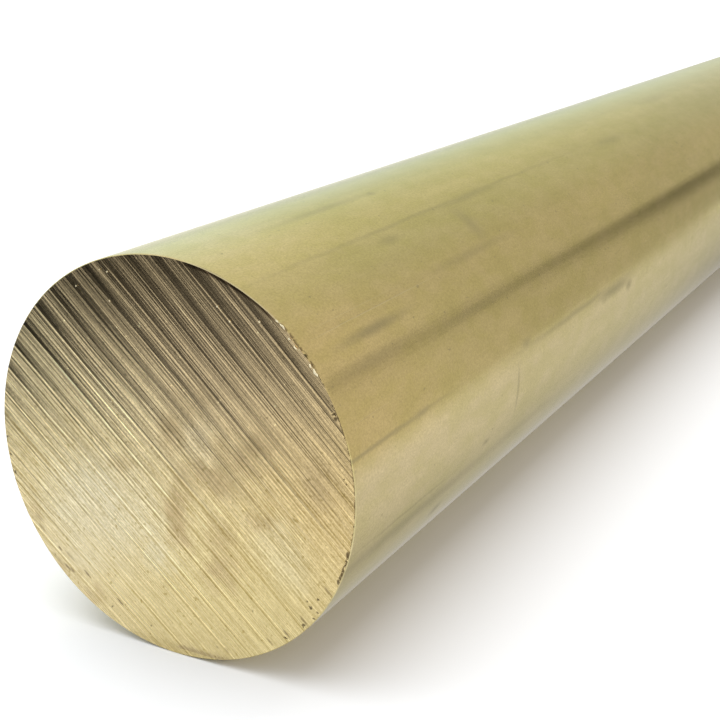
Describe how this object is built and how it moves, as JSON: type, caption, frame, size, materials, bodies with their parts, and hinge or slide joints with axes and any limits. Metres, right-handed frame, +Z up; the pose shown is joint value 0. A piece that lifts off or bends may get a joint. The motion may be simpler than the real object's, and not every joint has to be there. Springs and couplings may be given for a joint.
{
  "type": "round metal bar",
  "caption": "Solid brass round bar with square sawn ends, raw stock to be turned, machined or cut to length.",
  "frame": {"origin": "on the floor, under the middle of the bar, where the lying bar touches it", "axes": "+X along the bar from the near sawn end to the far one, +Z up; the bar's own axis is parallel to X, one radius above the floor"},
  "size_m": [0.5, 0.06, 0.06],
  "materials": {
    "drawn_brass": "dull drawn brass with fine lengthwise streaks; ends left as sawn"
  },
  "bodies": {
    "root": {"round_bar": "drawn_brass"}
  },
  "joints": []
}
